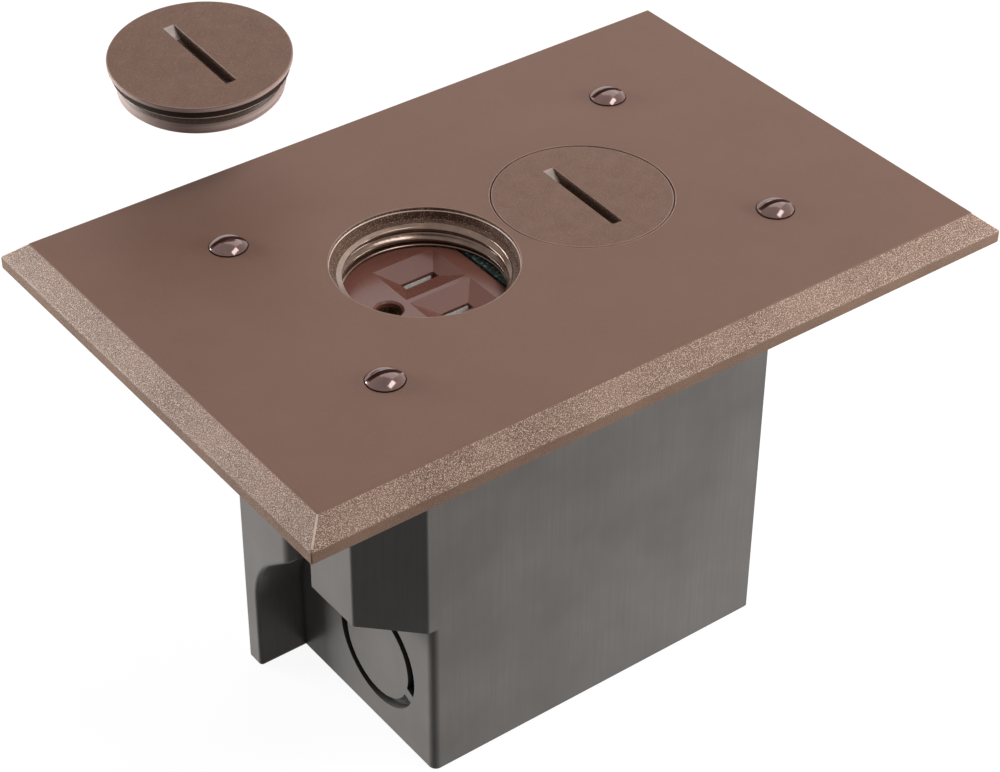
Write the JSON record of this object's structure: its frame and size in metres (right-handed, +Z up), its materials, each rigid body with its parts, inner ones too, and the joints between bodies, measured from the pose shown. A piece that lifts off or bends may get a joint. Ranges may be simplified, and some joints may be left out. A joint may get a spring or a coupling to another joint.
{
  "type": "floor socket box",
  "caption": "Drop-in floor box with a bevelled cover plate, screw-in plugs over a duplex outlet, and clamp wings that grip the floor from below.",
  "frame": {"origin": "middle of the box's flat underside", "axes": "+Z up out of the floor, +X along the cover plate towards the plug that is screwed in, +Y across the plate"},
  "size_m": [0.165, 0.1277, 0.1359],
  "materials": {
    "plate_brown": "finely textured matt brown moulding",
    "screw_bronze": "glossy dark brown painted screw head",
    "box_grey": "satin dark grey moulding",
    "seal_rubber": "black rubber",
    "gasket_foam": "black closed-cell foam",
    "outlet_brown": "glossy dark brown moulding",
    "device_black": "matt black moulding",
    "zinc_steel": "zinc-plated steel",
    "brass": "plain brass",
    "nickel": "nickel plate",
    "ground_green": "green dyed plating",
    "wing_black": "black glass-filled moulding"
  },
  "bodies": {
    "root": {"cover_plate": "plate_brown", "cover_gasket": "gasket_foam", "cover_screws": "screw_bronze", "cover_screw_inserts": "brass", "box_body": "box_grey", "outlet_face": "outlet_brown", "device_gasket": "gasket_foam", "receptacle_body": "device_black", "mounting_strap": "zinc_steel", "neutral_contacts": "brass", "live_contacts": "brass", "ground_contact": "brass", "neutral_terminal_screws": "nickel", "live_terminal_screws": "brass", "ground_screw": "ground_green", "device_screws": "zinc_steel", "receptacle_screws": "zinc_steel"},
    "right_seal": {"right_plug_seal": "seal_rubber"},
    "right_plug": {"right_plug": "plate_brown"},
    "left_plug": {"left_plug": "plate_brown", "left_plug_seal": "seal_rubber"},
    "left_screw": {"left_clamp_screw": "zinc_steel"},
    "left_nut": {"left_clamp_nut": "brass"},
    "left_wing": {"left_clamp_wing": "wing_black"},
    "right_screw": {"right_clamp_screw": "zinc_steel"},
    "right_nut": {"right_clamp_nut": "brass"},
    "right_wing": {"right_clamp_wing": "wing_black"}
  },
  "joints": [
    {"name": "right_plug_rise", "type": "slide", "parent": "root", "child": "right_seal", "axis": [0, 0, 1], "range_m": [0, 0.00755]},
    {"name": "right_plug_turn", "type": "hinge", "parent": "right_seal", "child": "right_plug", "pos_m": [0.01945, 0, 0.105], "axis": [0, 0, 1], "range_deg": [0, 1080]},
    {"name": "left_plug_carry", "type": "slide", "parent": "root", "child": "left_plug", "axis": [0.2774, -0.9608, 0], "range_m": [0, 0.0564]},
    {"name": "left_nut_climb", "type": "slide", "parent": "root", "child": "left_nut", "axis": [0, 0, 1], "range_m": [0, 0.02223]},
    {"name": "left_screw_turn", "type": "hinge", "parent": "root", "child": "left_screw", "pos_m": [-0.0453, 0.0038, 0.0601], "axis": [0, 0, 1], "range_deg": [-10085, 0]},
    {"name": "left_wing_swing", "type": "hinge", "parent": "left_nut", "child": "left_wing", "pos_m": [-0.0453, 0.0038, 0.0601], "axis": [0, 0, 1], "range_deg": [-90, 0]},
    {"name": "right_nut_climb", "type": "slide", "parent": "root", "child": "right_nut", "axis": [0, 0, 1], "range_m": [0, 0.02223]},
    {"name": "right_screw_turn", "type": "hinge", "parent": "root", "child": "right_screw", "pos_m": [0.0453, -0.0038, 0.0601], "axis": [0, 0, 1], "range_deg": [-10085, 0]},
    {"name": "right_wing_swing", "type": "hinge", "parent": "right_nut", "child": "right_wing", "pos_m": [0.0453, -0.0038, 0.0601], "axis": [0, 0, 1], "range_deg": [-90, 0]}
  ],
  "couplings": [
    {"joint": "right_plug_rise", "follows": "right_plug_turn", "m_per_rad": 0.00039789},
    {"joint": "left_screw_turn", "follows": "left_nut_climb", "rad_per_m": -7915.8},
    {"joint": "right_screw_turn", "follows": "right_nut_climb", "rad_per_m": -7915.8}
  ]
}
